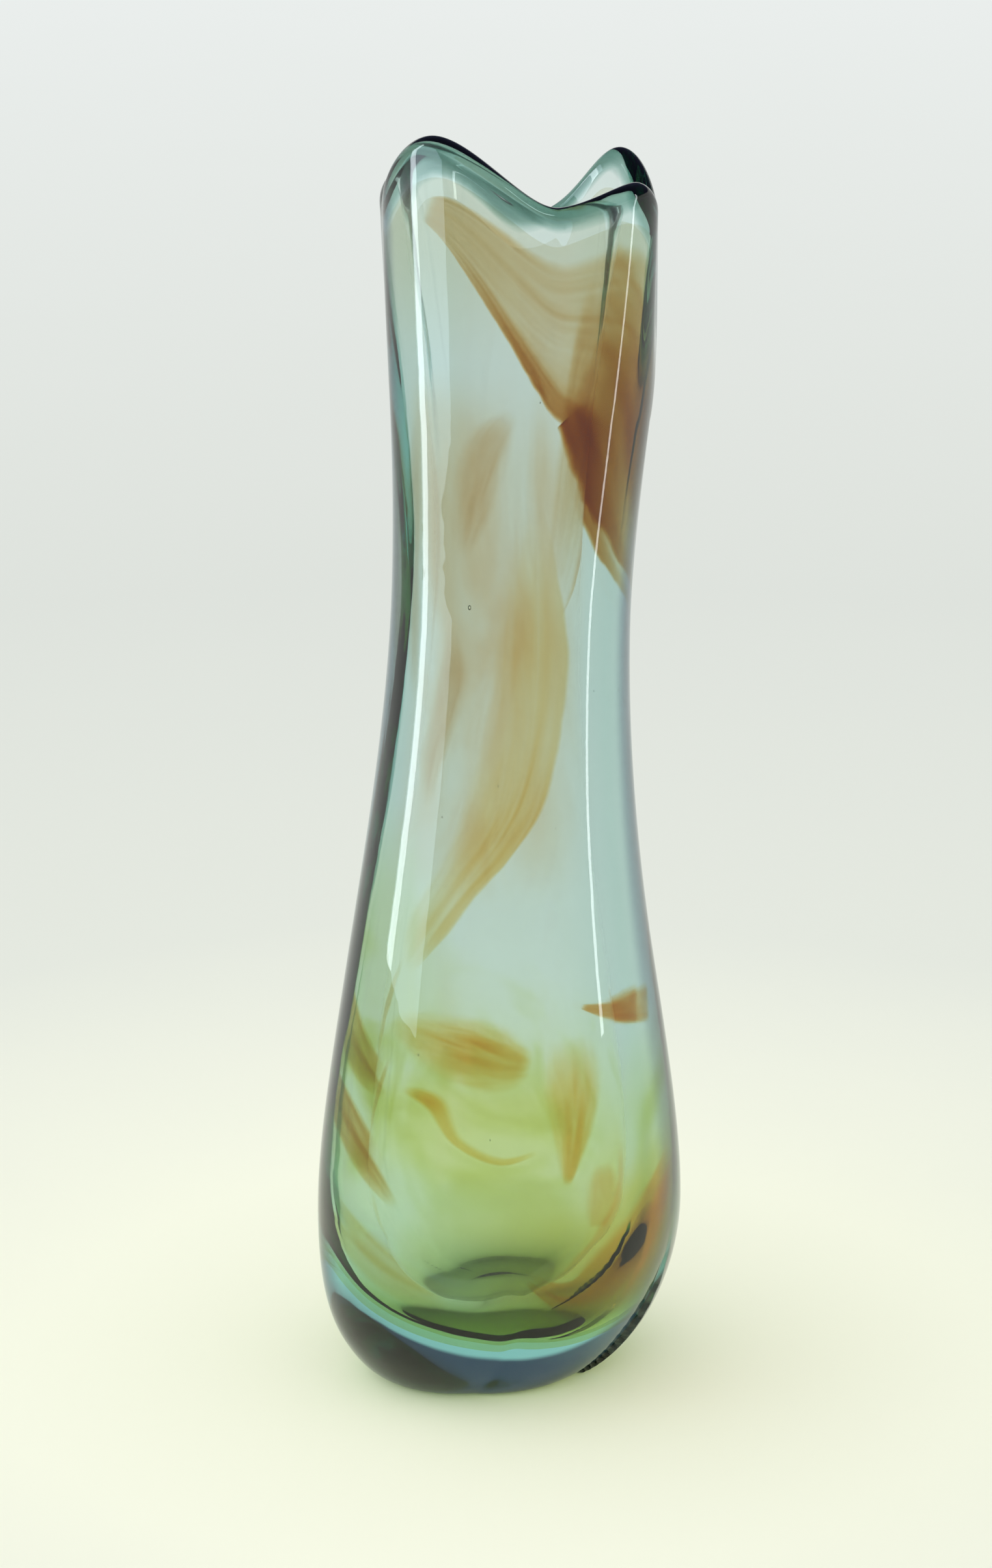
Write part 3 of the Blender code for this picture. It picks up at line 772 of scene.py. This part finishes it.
def floor():
    """A wide sweep of pale paper, cream near the vase and lilac-grey further off."""
    radii = np.concatenate([np.linspace(0.0, 0.5, 11)[1:], np.geomspace(0.6, 14.0, 24)])
    turn = np.arange(PAPER_SIDES) * 2 * math.pi / PAPER_SIDES
    level = np.full(PAPER_SIDES, PAPER_LEVEL)
    rings = [np.stack([r * np.cos(turn), r * np.sin(turn), level], -1) for r in radii]
    verts = np.concatenate([*rings, [[0, 0, PAPER_LEVEL]]])
    faces = tube_faces(len(radii), PAPER_SIDES) + fan(0, PAPER_SIDES, len(verts) - 1, True)
    material, n = new_material("pale paper")
    place = n.add("ShaderNodeTexCoord").outputs["Object"]
    distance = n.add("ShaderNodeVectorMath", {0: place}, operation="LENGTH").outputs["Value"]
    mottle = n.math("MULTIPLY_ADD", n.noise(place, 9.0, 5.0), PAPER_MOTTLE, -PAPER_MOTTLE / 2)
    share = n.math("POWER", n.math("MULTIPLY", distance, 1.0 / PAPER_REACH), 0.5)
    ramp = n.add("ShaderNodeValToRGB", {"Fac": n.math("ADD", share, mottle)})
    stops = ramp.color_ramp.elements
    for index, (metres, colour) in enumerate(PAPER):
        spot = (metres / PAPER_REACH) ** 0.5
        stop = stops[index] if index < 2 else stops.new(spot)
        stop.position = spot
        stop.color = (*colour, 1.0)
    fibre = n.noise(place, 260.0, 4.0)
    bump = n.add("ShaderNodeBump", {"Height": fibre, "Strength": 0.06, "Distance": 0.0005})
    shader = n.add("ShaderNodeBsdfDiffuse", {"Color": ramp.outputs["Color"], "Normal": bump.outputs[0]})
    n.add("ShaderNodeOutputMaterial", {"Surface": shader.outputs[0]})
    thing = link("paper_floor", verts, faces, material)


def studio():
    """Pale surroundings up to a low height and a dim room above, less dim on the left.

    The heel and the rim pick up the room. The camera sees a pale wall instead of it, and the paper is lit
    by an even dome, a little brighter from the left.
    """
    world = bpy.data.worlds.new("studio")
    bpy.context.scene.world = world
    world.use_nodes = True
    world.cycles.sampling_method = "NONE"
    n = Nodes(world.node_tree)
    direction = n.add("ShaderNodeTexCoord").outputs["Generated"]
    x, _, z = n.add("ShaderNodeSeparateXYZ", {"Vector": direction}).outputs
    above = n.ease(z, HORIZON_BAND - HORIZON_SOFT, HORIZON_BAND + HORIZON_SOFT)
    to_left = n.ease(x, LEFT_TO, LEFT_FROM, 1.0, 0.0)
    upper = n.mix(to_left, (*DIM_ROOM, 1.0), (*LEFT_ROOM, 1.0))
    room = n.add("ShaderNodeBackground", {"Color": n.mix(above, (*LOW_ROOM, 1.0), upper)})
    wall = n.add("ShaderNodeBackground", {"Color": (*WALL_COLOUR, 1.0)})
    path = n.add("ShaderNodeLightPath")
    from_paper = n.math("GREATER_THAN", path.outputs["Diffuse Depth"], 0.5)
    through_glass = n.math("MULTIPLY", from_paper, path.outputs["Is Transmission Ray"])
    # Light that reaches the paper through the glass is cut down, for the shadow round the base.
    kept = n.math("SUBTRACT", 1.0, n.math("MULTIPLY", through_glass, SHADOW))
    leftward = n.math("MAXIMUM", n.math("MULTIPLY", x, -1.0), 0.0)
    sky = n.math("MULTIPLY_ADD", leftward, DOME_LEFT, DOME_STRENGTH)
    light = {"Color": (1.0, 1.0, 1.0, 1.0), "Strength": n.math("MULTIPLY", sky, kept)}
    dome = n.add("ShaderNodeBackground", light)
    lit = n.add("ShaderNodeMixShader", {0: from_paper, 1: room.outputs[0], 2: dome.outputs[0]})
    views = {0: path.outputs["Is Camera Ray"], 1: lit.outputs[0], 2: wall.outputs[0]}
    seen = n.add("ShaderNodeMixShader", views)
    n.add("ShaderNodeOutputWorld", {"Surface": seen.outputs[0]})


def strip_lights():
    """Tall soft strips standing to each side, which draw the long highlights down the wall.

    Only a reflection sees them.
    """
    for name, (turn, distance, width, bottom, radiance, colour) in STRIP_LIGHTS.items():
        height = LIGHT_TOP - bottom
        data = bpy.data.lights.new(name, "AREA")
        data.shape = "RECTANGLE"
        data.size, data.size_y = width, height
        data.energy = radiance * math.pi * width * height
        data.color = colour
        thing = bpy.data.objects.new(name, data)
        bpy.context.scene.collection.objects.link(thing)
        angle = math.radians(turn)
        thing.location = (distance * math.sin(angle), -distance * math.cos(angle), bottom + height / 2)
        thing.rotation_euler = (math.pi / 2, 0.0, angle)
        thing.visible_camera = False
        thing.visible_diffuse = False
        thing.visible_transmission = False


def camera():
    """The photo's view, from a little above the vase."""
    data = bpy.data.cameras.new("camera")
    data.sensor_width = SENSOR_WIDTH
    data.lens = LENS
    data.clip_start, data.clip_end = 0.05, 60.0
    thing = bpy.data.objects.new("camera", data)
    bpy.context.scene.collection.objects.link(thing)
    thing.location = CAMERA_AT
    aim = Vector(CAMERA_AIM) - thing.location
    thing.rotation_mode = "QUATERNION"
    thing.rotation_quaternion = aim.to_track_quat("-Z", "Y")
    bpy.context.scene.camera = thing


floor()
studio()
strip_lights()
camera()

scene = bpy.context.scene
scene.cycles.max_bounces = 28
scene.cycles.transmission_bounces = 28
scene.cycles.glossy_bounces = 12
scene.cycles.diffuse_bounces = 3
scene.cycles.transparent_max_bounces = 96
scene.cycles.volume_bounces = 0
scene.cycles.caustics_reflective = True
scene.cycles.caustics_refractive = True
scene.cycles.blur_glossy = 0.0
scene.cycles.sample_clamp_indirect = 12.0
scene.cycles.use_denoising = True
scene.view_settings.view_transform = "Standard"
